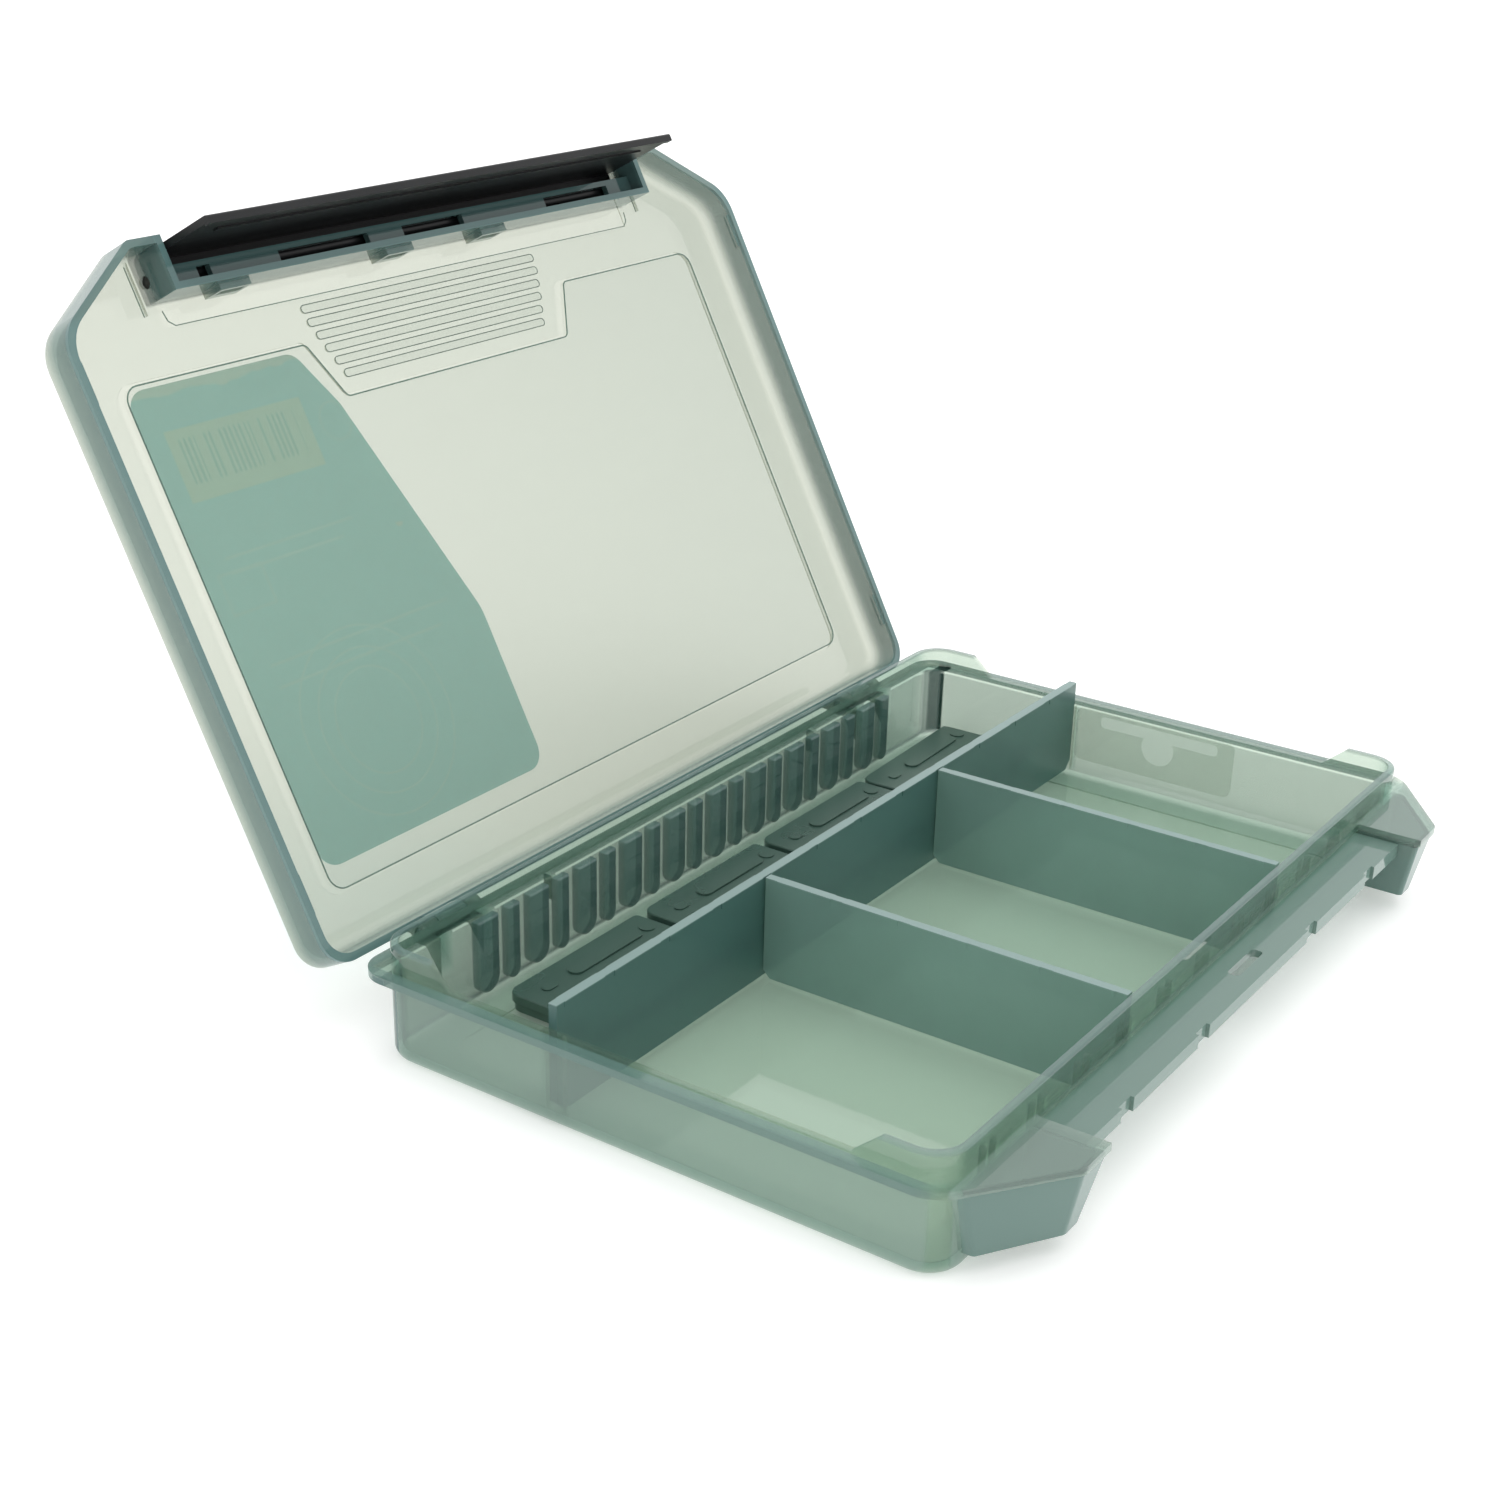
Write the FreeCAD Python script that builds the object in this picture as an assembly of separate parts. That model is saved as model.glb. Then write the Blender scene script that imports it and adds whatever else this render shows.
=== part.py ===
# Small hinged box with movable dividers, all lengths in mm.
# X runs along the hinge, +Y points to the hinge side, +Z is up.
# The origin is the centre of the tray's bottom face.
import FreeCAD, Part
import math
import os

V = FreeCAD.Vector

# overall shape
HALF_LENGTH = 102.5
SHOULDER_Y = -59.5
EAR_IN_X = 72.0
CORNER_R = 6.0

# tray
BODY_X = 99.8
BODY_Y = 60.6
WALL = 1.4
FLOOR = 1.5
LIP_TOP = 23.8
SIDE_LIP_TOP = 19.1
SIDE_LIP_HIGH_Y = 48.0
SIDE_LIP_LOW_Y = 42.6
BODY_CORNER_R = 7.0
FLANGE_REAR_Y = 63.3
FLANGE_FRONT_Y = -75.0
FLANGE_EAR_X = 81.0
FLANGE_BOTTOM = 17.4
FLANGE_TOP = 18.9
LEDGE_TOP = 16.7
LEDGE_THICK = 1.5
LEDGE_FRONT_Y = -70.3
SKIRT_BOTTOM = 4.0

# rib rack on the rear wall
RIB_PAIRS = 10
RIB_PITCH = 15.32
RIB_FIRST_X = -71.85
RIB_WIDE = 6.1
RIB_THIN = 3.7
RIB_THIN_SHIFT = 7.53
RIB_TOP = 18.2
RIB_BOTTOM = 2.2
RIB_PROUD = 2.0

# dividers
DIVIDER_CORE = 1.8
DIVIDER_PAD = 0.12
DIVIDER_PAD_HEIGHT = 1.2
DIVIDER_BOTTOM = 1.9
LONG_DIVIDER_Y = 20.1
LONG_DIVIDER_HALF = 98.0
SHORT_DIVIDER_X = 33.2
SHORT_FRONT_Y = -58.8
SHORT_REAR_Y = 18.8
SLOT_PITCH = 16.6
SLOT_GAP = 2.8
GUIDE_WIDTH = 1.0
GUIDE_DEPTH = 1.3
GUIDE_GAP = 2.4

# thin film pieces, with the layer of glue that holds them off the plastic
ADHESIVE = 0.03
LABEL_THICK = 0.2
TAB_THICK = 0.35

# hang tab on the right wall
TAB_BOTTOM = 3.9
TAB_TOP = 17.1
TAB_FRONT_Y = -21.3
TAB_REAR_Y = 19.2
TAB_SLOT_Y = -2.2

# hinge
HINGE_Y = 66.0
HINGE_Z = 16.5
KNUCKLE_R = 2.3
PIN_R = 1.2
BORE_R = 1.25
HINGE_X = (-74.0, 74.0)
LUG_HALF = 4.0
KNUCKLE_LENGTH = 3.7
OPEN_ANGLE = 118.0

# lid, in its closed position
RIM_Z = 19.2
LID_TOP = 28.7
LID_REAR_Y = 65.0
LID_FRONT_Y = -73.8
LID_EAR_X = 80.6
LID_WALL = 1.5
LID_PLATE = 1.4
LID_EDGE_R = 2.4
POCKET_X = 72.2
POCKET_REAR_Y = -64.5
SHELF_FRONT_Y = -68.6
SHELF_TOP = 24.0
PANEL_STEP = 0.5
PANEL_REAR_Y = 53.9
GRIP_Y = (-56.2, -53.3, -50.4, -47.5, -44.6, -41.7)
GRIP_HALF = (36.7, 36.4, 35.4, 34.4, 33.2, 32.1)
GRIP_WIDTH = 1.7
GRIP_HIGH = 0.45
WINDOWS = ((-64.0, -60.6), (-42.4, -16.8), (-6.5, 12.5), (40.4, 63.4))

# latch, in its closed position
LATCH_HALF = 71.6
LATCH_Y = -67.2
LATCH_Z = 26.6
LATCH_R = 1.9
LATCH_FRONT_Y = -72.4
LATCH_THICK = 1.4
LATCH_BOTTOM = 6.0
LATCH_TOP = 28.5

# spare dividers
SPARE_LENGTH = 41.2
SPARE_WIDTH = 23.5
SPARE_THICK = 1.8
SPARE_PITCH = 43.0
SPARE_FIRST_X = -74.0
SPARE_FAR_Y = 51.0
SPARE_LOW_Z = 1.8
SPARE_GAP = 0.3


def box(x0, x1, y0, y1, z0, z1):
    return Part.makeBox(x1 - x0, y1 - y0, z1 - z0, V(x0, y0, z0))


def join(shapes):
    shapes = list(shapes)
    if len(shapes) == 1:
        return shapes[0]
    return shapes[0].fuse(shapes[1:]).removeSplitter()


def rounded_face(corners, z):
    """Flat face from (x, y, radius) corners, each corner rounded."""
    count = len(corners)
    starts, ends, arcs = [], [], []
    for i, (x, y, r) in enumerate(corners):
        p = V(x, y, z)
        before = V(corners[i - 1][0], corners[i - 1][1], z)
        after = V(corners[(i + 1) % count][0], corners[(i + 1) % count][1], z)
        a = (before - p).normalize()
        b = (after - p).normalize()
        half = a.getAngle(b) / 2.0
        cut = r / math.tan(half)
        t0 = p + a * cut
        t1 = p + b * cut
        bisector = (a + b).normalize()
        middle = p + bisector * (r / math.sin(half) - r)
        starts.append(t0)
        ends.append(t1)
        arcs.append(Part.Arc(t0, middle, t1).toShape())
    edges = []
    for i in range(count):
        edges.append(arcs[i])
        edges.append(Part.makeLine(ends[i], starts[(i + 1) % count]))
    return Part.Face(Part.Wire(edges))


def prism(corners, z0, z1):
    return rounded_face(corners, z0).extrude(V(0, 0, z1 - z0))


def edges_at(shape, z, tolerance=0.01):
    """Edges that lie wholly in the plane at height z."""
    flat = []
    for edge in shape.Edges:
        box_ = edge.BoundBox
        if abs(box_.ZMin - z) < tolerance and abs(box_.ZMax - z) < tolerance:
            flat.append(edge)
    return flat


def cylinder_x(x0, x1, y, z, r):
    return Part.makeCylinder(r, x1 - x0, V(x0, y, z), V(1, 0, 0))


def rectangle(half_x, half_y, r):
    return [(half_x, half_y, r), (-half_x, half_y, r), (-half_x, -half_y, r), (half_x, -half_y, r)]


def plan_outline(rear_y, front_y, ear_x, inset):
    """Outer plan shape with the two front ears joined by a straight edge."""
    x = HALF_LENGTH - inset
    rear = rear_y - inset
    front = front_y + inset
    shoulder = SHOULDER_Y + 0.5 * inset
    ear = ear_x - 0.3 * inset
    return [
        (x, rear, CORNER_R - 0.6 * inset),
        (-x, rear, CORNER_R - 0.6 * inset),
        (-x, shoulder, 9.0),
        (-ear, front, 2.6),
        (ear, front, 2.6),
        (x, shoulder, 9.0),
    ]


def tray_body():
    outer = prism(rectangle(BODY_X, BODY_Y, BODY_CORNER_R), 0, LIP_TOP)
    outer = outer.makeFillet(2.6, edges_at(outer, 0))
    outer = outer.makeFillet(0.5, edges_at(outer, LIP_TOP))
    inner = prism(rectangle(BODY_X - WALL, BODY_Y - WALL, BODY_CORNER_R - WALL), FLOOR, LIP_TOP + 5)
    inner = inner.makeFillet(1.6, edges_at(inner, FLOOR))
    return outer, inner


def side_lip_cut(sign):
    """Lowers the middle of one side lip, with sloping ends."""
    points = [
        V(0, -SIDE_LIP_HIGH_Y, LIP_TOP + 0.01),
        V(0, -SIDE_LIP_LOW_Y, SIDE_LIP_TOP),
        V(0, SIDE_LIP_LOW_Y, SIDE_LIP_TOP),
        V(0, SIDE_LIP_HIGH_Y, LIP_TOP + 0.01),
    ]
    face = Part.Face(Part.makePolygon(points + [points[0]]))
    face.translate(V(sign * (BODY_X - 4.0), 0, 0))
    return face.extrude(V(sign * 8.0, 0, 0))


def tray_flange():
    plate = prism(plan_outline(FLANGE_REAR_Y, FLANGE_FRONT_Y, FLANGE_EAR_X, 0), FLANGE_BOTTOM, FLANGE_TOP)
    gap = box(-EAR_IN_X, EAR_IN_X, FLANGE_FRONT_Y - 5, -BODY_Y - 0.8, 0, 30)
    end = EAR_IN_X + 0.5
    ledge = box(-end, end, LEDGE_FRONT_Y, -BODY_Y + 0.5, LEDGE_TOP - LEDGE_THICK, LEDGE_TOP)
    turned = box(-end, end, LEDGE_FRONT_Y, LEDGE_FRONT_Y + 1.4, 13.9, LEDGE_TOP)
    notches = []
    for x in (-56.0, -25.2, 25.2, 56.0):
        notches.append(box(x - 2.3, x + 2.3, LEDGE_FRONT_Y - 1, LEDGE_FRONT_Y + 0.7, 12, LEDGE_TOP + 1))
    slot = prism([(9, -64.6, 0.9), (-3, -64.6, 0.9), (-3, -67.0, 0.9), (9, -67.0, 0.9)], 12, 18)
    ledge = join([ledge, turned]).cut(Part.makeCompound(notches + [slot]))
    return [plate.cut(gap), ledge]


def lofted(top, z_top, bottom, z_bottom):
    """Tapered solid between two plan polygons of (x, y, radius) corners."""
    upper = rounded_face(top, z_top).OuterWire
    lower = rounded_face(bottom, z_bottom).OuterWire
    return Part.makeLoft([upper, lower], True, True)


def ear_skirts():
    """Hollow tapered leg under each front ear of the flange."""
    outer = lofted(
        [(97.5, -58.0, 0.8), (72.0, -58.0, 0.8), (72.0, -74.6, 1.0), (80.6, -74.6, 2.2), (97.5, -62.3, 1.2)],
        FLANGE_BOTTOM + 0.2,
        [(94.0, -58.0, 0.8), (74.6, -58.0, 0.8), (74.6, -71.8, 1.0), (79.7, -71.8, 2.0), (94.0, -62.8, 1.2)],
        SKIRT_BOTTOM,
    )
    inner = lofted(
        [(97.0, -60.9, 0.4), (73.4, -60.9, 0.4), (73.4, -73.2, 0.6), (80.1, -73.2, 1.2)],
        FLANGE_BOTTOM,
        [(94.4, -60.9, 0.4), (76.0, -60.9, 0.4), (76.0, -70.4, 0.6), (79.3, -70.4, 1.2)],
        SKIRT_BOTTOM - 0.1,
    )
    right = outer.cut(inner)
    return [right, right.mirror(V(0, 0, 0), V(1, 0, 0))]


def rib(x, width):
    """One upright rib of the rear rack with a round lower end."""
    half = width / 2.0
    y0 = BODY_Y - WALL - RIB_PROUD
    y1 = BODY_Y - WALL + 0.4
    bar = box(x - half, x + half, y0, y1, RIB_BOTTOM + half, RIB_TOP)
    foot = Part.makeCylinder(half, y1 - y0, V(x, y0, RIB_BOTTOM + half), V(0, 1, 0))
    bar = join([bar, foot])
    soft = []
    for edge in bar.Edges:
        b = edge.BoundBox
        if b.YMax - b.YMin < 0.01 and abs(b.YMin - y0) < 0.01:
            soft.append(edge)
    return bar.makeFillet(0.5, soft)


def rib_rack():
    ribs = []
    for i in range(RIB_PAIRS):
        x = RIB_FIRST_X + i * RIB_PITCH
        ribs.append(rib(x, RIB_WIDE))
        ribs.append(rib(x + RIB_THIN_SHIFT, RIB_THIN))
    return ribs


def divider_guides():
    """Small upright rib pairs that hold the ends of the dividers."""
    guides = []
    inner_x = BODY_X - WALL
    inner_y = BODY_Y - WALL
    top = RIB_TOP
    for shift in (-GUIDE_GAP / 2 - GUIDE_WIDTH, GUIDE_GAP / 2):
        y0 = LONG_DIVIDER_Y + shift - (0.2 if shift < 0 else -0.2)
        guides.append(box(inner_x - GUIDE_DEPTH, inner_x + 0.4, y0, y0 + GUIDE_WIDTH, FLOOR - 0.3, top))
        guides.append(box(-inner_x - 0.4, -inner_x + GUIDE_DEPTH, y0, y0 + GUIDE_WIDTH, FLOOR - 0.3, top))
        for i in range(-5, 6):
            x0 = i * SLOT_PITCH + shift
            guides.append(box(x0, x0 + GUIDE_WIDTH, -inner_y - 0.4, -inner_y + GUIDE_DEPTH, FLOOR - 0.3, top))
    return guides


def tray_knuckles():
    knuckles = []
    for centre in HINGE_X:
        for side in (-1, 1):
            near = centre + side * (LUG_HALF + 0.3)
            x0, x1 = sorted((near, near + side * KNUCKLE_LENGTH))
            arm = box(x0, x1, BODY_Y - 0.5, HINGE_Y, 14.2, FLANGE_BOTTOM + 0.3)
            barrel = cylinder_x(x0, x1, HINGE_Y, HINGE_Z, KNUCKLE_R)
            gusset = Part.Face(Part.makePolygon([
                V(x0, BODY_Y - 0.5, 8.0),
                V(x0, BODY_Y - 0.5, 14.4),
                V(x0, HINGE_Y - 1.5, 14.4),
                V(x0, BODY_Y - 0.5, 8.0),
            ])).extrude(V(x1 - x0, 0, 0))
            knuckles.append(join([arm, barrel, gusset]))
    for x in (-48.0, 48.0):
        knuckles.append(box(x - 0.7, x + 0.7, BODY_Y - 0.5, FLANGE_REAR_Y - 0.6, 12.0, FLANGE_BOTTOM + 0.3))
    return knuckles


def make_tray():
    outer, inner = tray_body()
    solid = join([outer] + tray_flange() + ear_skirts() + tray_knuckles())
    solid = solid.cut(inner)
    solid = join([solid] + rib_rack() + divider_guides())
    cuts = [side_lip_cut(-1), side_lip_cut(1)]
    for centre in HINGE_X:
        reach = LUG_HALF + KNUCKLE_LENGTH + 1.0
        cuts.append(cylinder_x(centre - reach, centre + reach, HINGE_Y, HINGE_Z, BORE_R))
    cuts.append(prism(rectangle(BODY_X - 9.0, BODY_Y - 9.0, 5.0), -1.0, 0.4))
    return solid.cut(Part.makeCompound(cuts))


def panel_corners(inset):
    """Label panel of the lid, with the notch for the grip ribs."""
    x = 89.6 - inset
    front = -49.8 + inset
    return [
        (x, PANEL_REAR_Y - inset, 4.0),
        (-x, PANEL_REAR_Y - inset, 4.0),
        (-x, front, 4.0),
        (-40.3 - inset, front, 1.6),
        (-34.6 - inset, -37.7 + inset, 1.6),
        (34.6 + inset, -37.7 + inset, 1.6),
        (40.3 + inset, front, 1.6),
        (x, front, 4.0),
    ]


def lid_plan(inset):
    return plan_outline(LID_REAR_Y, LID_FRONT_Y, LID_EAR_X, inset)


def lid_shell():
    """Shallow tray shape, open below, with a stepped pocket for the latch."""
    outer = prism(lid_plan(0), RIM_Z, LID_TOP)
    outer = outer.makeFillet(LID_EDGE_R, edges_at(outer, LID_TOP))
    above = LID_TOP + 5
    front = LID_FRONT_Y - 5
    recess = box(-POCKET_X, POCKET_X, front, POCKET_REAR_Y, SHELF_TOP, above)
    nose = box(-POCKET_X, POCKET_X, front, SHELF_FRONT_Y, 0, above)
    under = box(-POCKET_X, POCKET_X, front, POCKET_REAR_Y, 0, SHELF_TOP - LID_PLATE)
    outer = outer.cut(Part.makeCompound([recess, nose, under]))
    cavity = prism(lid_plan(LID_WALL), RIM_Z - 2, LID_TOP - LID_PLATE)
    cavity = cavity.makeFillet(2.0, edges_at(cavity, LID_TOP - LID_PLATE))
    keep_x = POCKET_X + LID_WALL
    keep = box(-keep_x, keep_x, front, POCKET_REAR_Y + LID_PLATE, 0, above)
    return outer.cut(cavity.cut(keep))


def lid_panel_steps(shell):
    """The panel is set down by one step, inside and outside alike."""
    plate_under = LID_TOP - LID_PLATE
    pad = prism(panel_corners(0.9), plate_under - PANEL_STEP, plate_under + 0.3)
    sunk = prism(panel_corners(0), LID_TOP - PANEL_STEP, LID_TOP + 1)
    band = box(-72, 72, POCKET_REAR_Y - 1, -58.3, LID_TOP - 0.35, LID_TOP + 1)
    return join([shell, pad]).cut(Part.makeCompound([sunk, band]))


def stadium(half, y, z0, z1):
    r = GRIP_WIDTH / 2.0
    middle = box(-half + r, half - r, y - r, y + r, z0, z1)
    ends = [Part.makeCylinder(r, z1 - z0, V(s * (half - r), y, z0)) for s in (-1, 1)]
    return join([middle] + ends)


def lid_details():
    parts = []
    for y, half in zip(GRIP_Y, GRIP_HALF):
        parts.append(stadium(half, y, LID_TOP - 0.5, LID_TOP + GRIP_HIGH))
    for sign in (-1, 1):
        lo, hi = sorted((sign * 76.2, sign * 76.9))
        parts.append(box(lo, hi, -71.6, -61.0, LID_TOP - LID_PLATE - 0.7, LID_TOP - LID_PLATE + 0.2))
        for y in (-50.0, 50.0):
            x = sign * (HALF_LENGTH - LID_WALL)
            lo, hi = sorted((x - sign * 0.6, x + sign * 0.3))
            parts.append(box(lo, hi, y - 4, y + 4, RIM_Z + 0.6, RIM_Z + 1.8))
    for x in (-58.0, -11.5, 18.3):
        block = box(x - 4, x + 4, -63.6, -61.6, 20.6, 26.0)
        parts.append(block.cut(box(x - 3, x + 3, -63.1, -60.0, 21.6, 24.0)))
    return parts


def lid_lugs():
    lugs = []
    for x in HINGE_X:
        x0 = x - LUG_HALF
        x1 = x + LUG_HALF
        root = box(x0, x1, LID_REAR_Y - 0.4, HINGE_Y + KNUCKLE_R, RIM_Z + 0.4, 24.5)
        web = box(x0, x1, HINGE_Y - KNUCKLE_R, HINGE_Y + KNUCKLE_R, HINGE_Z, RIM_Z + 0.5)
        barrel = cylinder_x(x0, x1, HINGE_Y, HINGE_Z, KNUCKLE_R)
        reach = LUG_HALF + 3.4
        pin = cylinder_x(x - reach, x + reach, HINGE_Y, HINGE_Z, PIN_R)
        slope = Part.Face(Part.makePolygon([
            V(x0 - 1, LID_REAR_Y + 0.6, 24.6),
            V(x0 - 1, HINGE_Y + KNUCKLE_R + 0.1, 24.6),
            V(x0 - 1, HINGE_Y + KNUCKLE_R + 0.1, 20.4),
            V(x0 - 1, LID_REAR_Y + 0.6, 24.6),
        ])).extrude(V(2 * LUG_HALF + 2, 0, 0))
        lugs.append(join([root.cut(slope), web, barrel, pin]))
    return lugs


def opened(shape):
    """Turns a closed-lid shape to the open rest position."""
    shape = shape.copy()
    shape.rotate(V(0, HINGE_Y, HINGE_Z), V(1, 0, 0), -OPEN_ANGLE)
    return shape


def make_lid():
    shell = lid_panel_steps(lid_shell())
    solid = join([shell] + lid_details() + lid_lugs())
    cuts = []
    for x0, x1 in WINDOWS:
        cuts.append(box(x0, x1, -67.4, -65.2, SHELF_TOP - LID_PLATE - 1, SHELF_TOP + 1))
    reach = POCKET_X + LID_WALL + 0.5
    cuts.append(cylinder_x(-reach, reach, LATCH_Y, LATCH_Z, BORE_R))
    return opened(solid.cut(Part.makeCompound(cuts)))


def make_latch():
    """Full-width bar that hangs from two pins, with a catch ridge inside."""
    h = LATCH_HALF
    inner_y = LATCH_FRONT_Y + LATCH_THICK
    top = box(-h, h, LATCH_FRONT_Y, LATCH_Y, LATCH_TOP - 1.4, LATCH_TOP)
    front = box(-h, h, LATCH_FRONT_Y, inner_y, LATCH_BOTTOM, LATCH_TOP)
    bar = join([top, front])
    soft = []
    for edge in bar.Edges:
        b = edge.BoundBox
        if b.XMax - b.XMin > h and abs(b.YMin - LATCH_FRONT_Y) < 0.01:
            soft.append(edge)
    bar = bar.makeFillet(0.6, soft)
    barrel = cylinder_x(-h, h, LATCH_Y, LATCH_Z, LATCH_R)
    reach = POCKET_X + 1.2
    pin = cylinder_x(-reach, reach, LATCH_Y, LATCH_Z, PIN_R)
    ridge = box(-h + 6, h - 6, inner_y - 0.3, inner_y + 0.35, 11.0, 12.4)
    bead = box(-h, h, inner_y - 0.3, inner_y + 0.35, LATCH_BOTTOM, LATCH_BOTTOM + 1.4)
    return opened(join([bar, barrel, pin, ridge, bead]))


def make_label():
    corners = [
        (-87.6, 48.6, 4.5),
        (-87.6, -48.2, 4.5),
        (-44.0, -48.2, 4.0),
        (-37.0, -36.0, 6.0),
        (-21.5, 13.0, 12.0),
        (-21.5, 48.6, 4.5),
    ]
    base = LID_TOP - PANEL_STEP + ADHESIVE
    return opened(prism(corners, base, base + LABEL_THICK))


def make_hang_tab():
    """Flat tab with a wide hanging slot, stuck on the right wall."""
    low, high, right, left = TAB_BOTTOM, TAB_TOP, TAB_FRONT_Y, TAB_REAR_Y
    sheet = prism([(left, low, 2.0), (right, low, 2.0), (right, high, 1.5), (left, high, 1.5)], 0, TAB_THICK)
    x0 = TAB_SLOT_Y - 15.1
    x1 = TAB_SLOT_Y + 15.1
    wide = prism([(x1, 13.2, 1.2), (x0, 13.2, 1.2), (x0, 16.2, 1.2), (x1, 16.2, 1.2)], -1, 1)
    round_ = Part.makeCylinder(4.2, 2, V(TAB_SLOT_Y, 11.4, -1))
    sheet = sheet.cut(join([wide, round_]))
    sheet.rotate(V(0, 0, 0), V(1, 0, 0), 90)
    sheet.rotate(V(0, 0, 0), V(0, 0, 1), 90)
    sheet.translate(V(BODY_X + ADHESIVE - sheet.BoundBox.XMin, 0, 0))
    return sheet


def padded_wall(length, pads, height0, height1):
    """Upright wall along X from 0 to length, with shallow pads along its top edge."""
    half = DIVIDER_CORE / 2.0
    core = box(0, length, -half, half, height0, height1)
    bands = []
    for x0, x1 in pads:
        bands.append(box(x0, x1, -half - DIVIDER_PAD, half + DIVIDER_PAD,
                         height1 - DIVIDER_PAD_HEIGHT, height1))
    return join([core] + bands)


def clip_lower_corners(shape, x_lo, x_hi, z, size):
    for x, side in ((x_lo, 1), (x_hi, -1)):
        points = [V(x - side, -9, z - 1), V(x + side * size, -9, z - 1), V(x + side * size, -9, z)]
        points += [V(x, -9, z + size), V(x - side, -9, z + size), V(x - side, -9, z - 1)]
        shape = shape.cut(Part.Face(Part.makePolygon(points)).extrude(V(0, 18, 0)))
    return shape


def make_long_divider():
    length = 2 * LONG_DIVIDER_HALF
    pads = []
    for i in range(-6, 6):
        x0 = max(i * SLOT_PITCH + SLOT_GAP / 2, -LONG_DIVIDER_HALF + 2.2)
        x1 = min((i + 1) * SLOT_PITCH - SLOT_GAP / 2, LONG_DIVIDER_HALF - 2.2)
        pads.append((x0 + LONG_DIVIDER_HALF, x1 + LONG_DIVIDER_HALF))
    wall = padded_wall(length, pads, DIVIDER_BOTTOM, LIP_TOP)
    wall = clip_lower_corners(wall, 0, length, DIVIDER_BOTTOM, 2.0)
    wall.translate(V(-LONG_DIVIDER_HALF, LONG_DIVIDER_Y, 0))
    return wall


def make_short_divider(sign):
    length = SHORT_REAR_Y - SHORT_FRONT_Y
    pads = []
    for i in range(5):
        x0 = 2.6 + i * 15.0
        pads.append((x0, x0 + 12.2))
    wall = padded_wall(length, pads, DIVIDER_BOTTOM, LIP_TOP)
    wall = clip_lower_corners(wall, 0, length, DIVIDER_BOTTOM, 1.6)
    wall.rotate(V(0, 0, 0), V(0, 0, 1), 90)
    wall.translate(V(sign * SHORT_DIVIDER_X, SHORT_FRONT_Y, 0))
    return wall


def oval(x0, x1, y, r, z0, z1):
    middle = box(x0 + r, x1 - r, y - r, y + r, z0, z1)
    ends = [Part.makeCylinder(r, z1 - z0, V(x, y, z0)) for x in (x0 + r, x1 - r)]
    return join([middle] + ends)


def make_spare(index, layer):
    """Flat spare divider; the upper one of a pair nests over the lower one."""
    length, width, thick = SPARE_LENGTH, SPARE_WIDTH, SPARE_THICK
    corners = [(length, 0, 1.2), (0, 0, 3.0), (0, -width, 3.0), (length, -width, 1.2)]
    plate = prism(corners, 0, thick)
    plate = plate.makeFillet(0.4, edges_at(plate, thick))
    far = -5.6
    raised = [
        oval(13, 35, far, 1.7, thick - 0.2, thick + 0.45),
        oval(13, 35, -width - far, 1.7, thick - 0.2, thick + 0.45),
        oval(4.6, 8.4, far, 1.2, thick - 0.2, thick + 0.3),
        Part.makeCylinder(1.7, 0.5, V(length - 3.6, far, thick - 0.2)),
    ]
    plate = join([plate] + raised)
    recess = oval(3.0, length - 0.9, far, 2.9, -1, 0.8)
    recess = join([recess, oval(11.0, 37.0, -width - far, 2.6, -1, 0.8)])
    plate = plate.cut(recess)
    x = SPARE_FIRST_X + index * SPARE_PITCH - 0.7 * layer
    z = SPARE_LOW_Z + layer * (thick + SPARE_GAP)
    if index == 3:
        x -= 1.0
        plate.rotate(V(0, 0, 0), V(0, 0, 1), 2.0)
    plate.translate(V(x, SPARE_FAR_Y, z))
    return plate


def main():
    os.makedirs("parts", exist_ok=True)
    shapes = {
        "tray": make_tray(),
        "lid": make_lid(),
        "latch": make_latch(),
        "label": make_label(),
        "hang_tab": make_hang_tab(),
        "long_divider": make_long_divider(),
        "short_divider_left": make_short_divider(-1),
        "short_divider_right": make_short_divider(1),
    }
    for index in range(4):
        shapes["spare_%d_lower" % (index + 1)] = make_spare(index, 0)
        shapes["spare_%d_upper" % (index + 1)] = make_spare(index, 1)
    for name, shape in shapes.items():
        shape.exportStep("parts/%s.step" % name)
        bounds = shape.BoundBox
        print(name, shape.ShapeType, len(shape.Solids), "solid", "valid", shape.isValid(),
              "volume %.0f" % shape.Volume,
              "x %.1f %.1f y %.1f %.1f z %.1f %.1f" % (bounds.XMin, bounds.XMax, bounds.YMin,
                                                      bounds.YMax, bounds.ZMin, bounds.ZMax))


main()
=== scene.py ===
# %% [markdown]
# # Hinged compartment box
# A flat box of tinted clear plastic lies open on a pale table. The tray, the lid, the
# latch bar and the loose partitions come from the CAD model, already in place and in
# metres. Here they get their finishes, the lid gets thin lines of painted shade along
# its moulded steps, and the studio and the camera are set up.

# %% Load the CAD model
import math
import bpy
from mathutils import Matrix, Vector


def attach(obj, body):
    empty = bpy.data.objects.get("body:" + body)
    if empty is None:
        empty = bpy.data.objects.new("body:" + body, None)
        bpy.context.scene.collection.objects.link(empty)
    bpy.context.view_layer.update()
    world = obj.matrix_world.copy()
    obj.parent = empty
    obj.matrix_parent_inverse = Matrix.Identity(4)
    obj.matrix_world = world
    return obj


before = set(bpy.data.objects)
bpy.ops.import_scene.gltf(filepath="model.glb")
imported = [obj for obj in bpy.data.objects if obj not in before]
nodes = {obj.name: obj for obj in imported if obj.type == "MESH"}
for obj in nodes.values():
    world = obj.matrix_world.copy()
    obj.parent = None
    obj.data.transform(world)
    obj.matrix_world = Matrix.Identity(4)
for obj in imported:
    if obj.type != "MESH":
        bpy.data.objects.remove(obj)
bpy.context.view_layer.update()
print("pieces:", ", ".join(sorted(nodes)))

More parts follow.
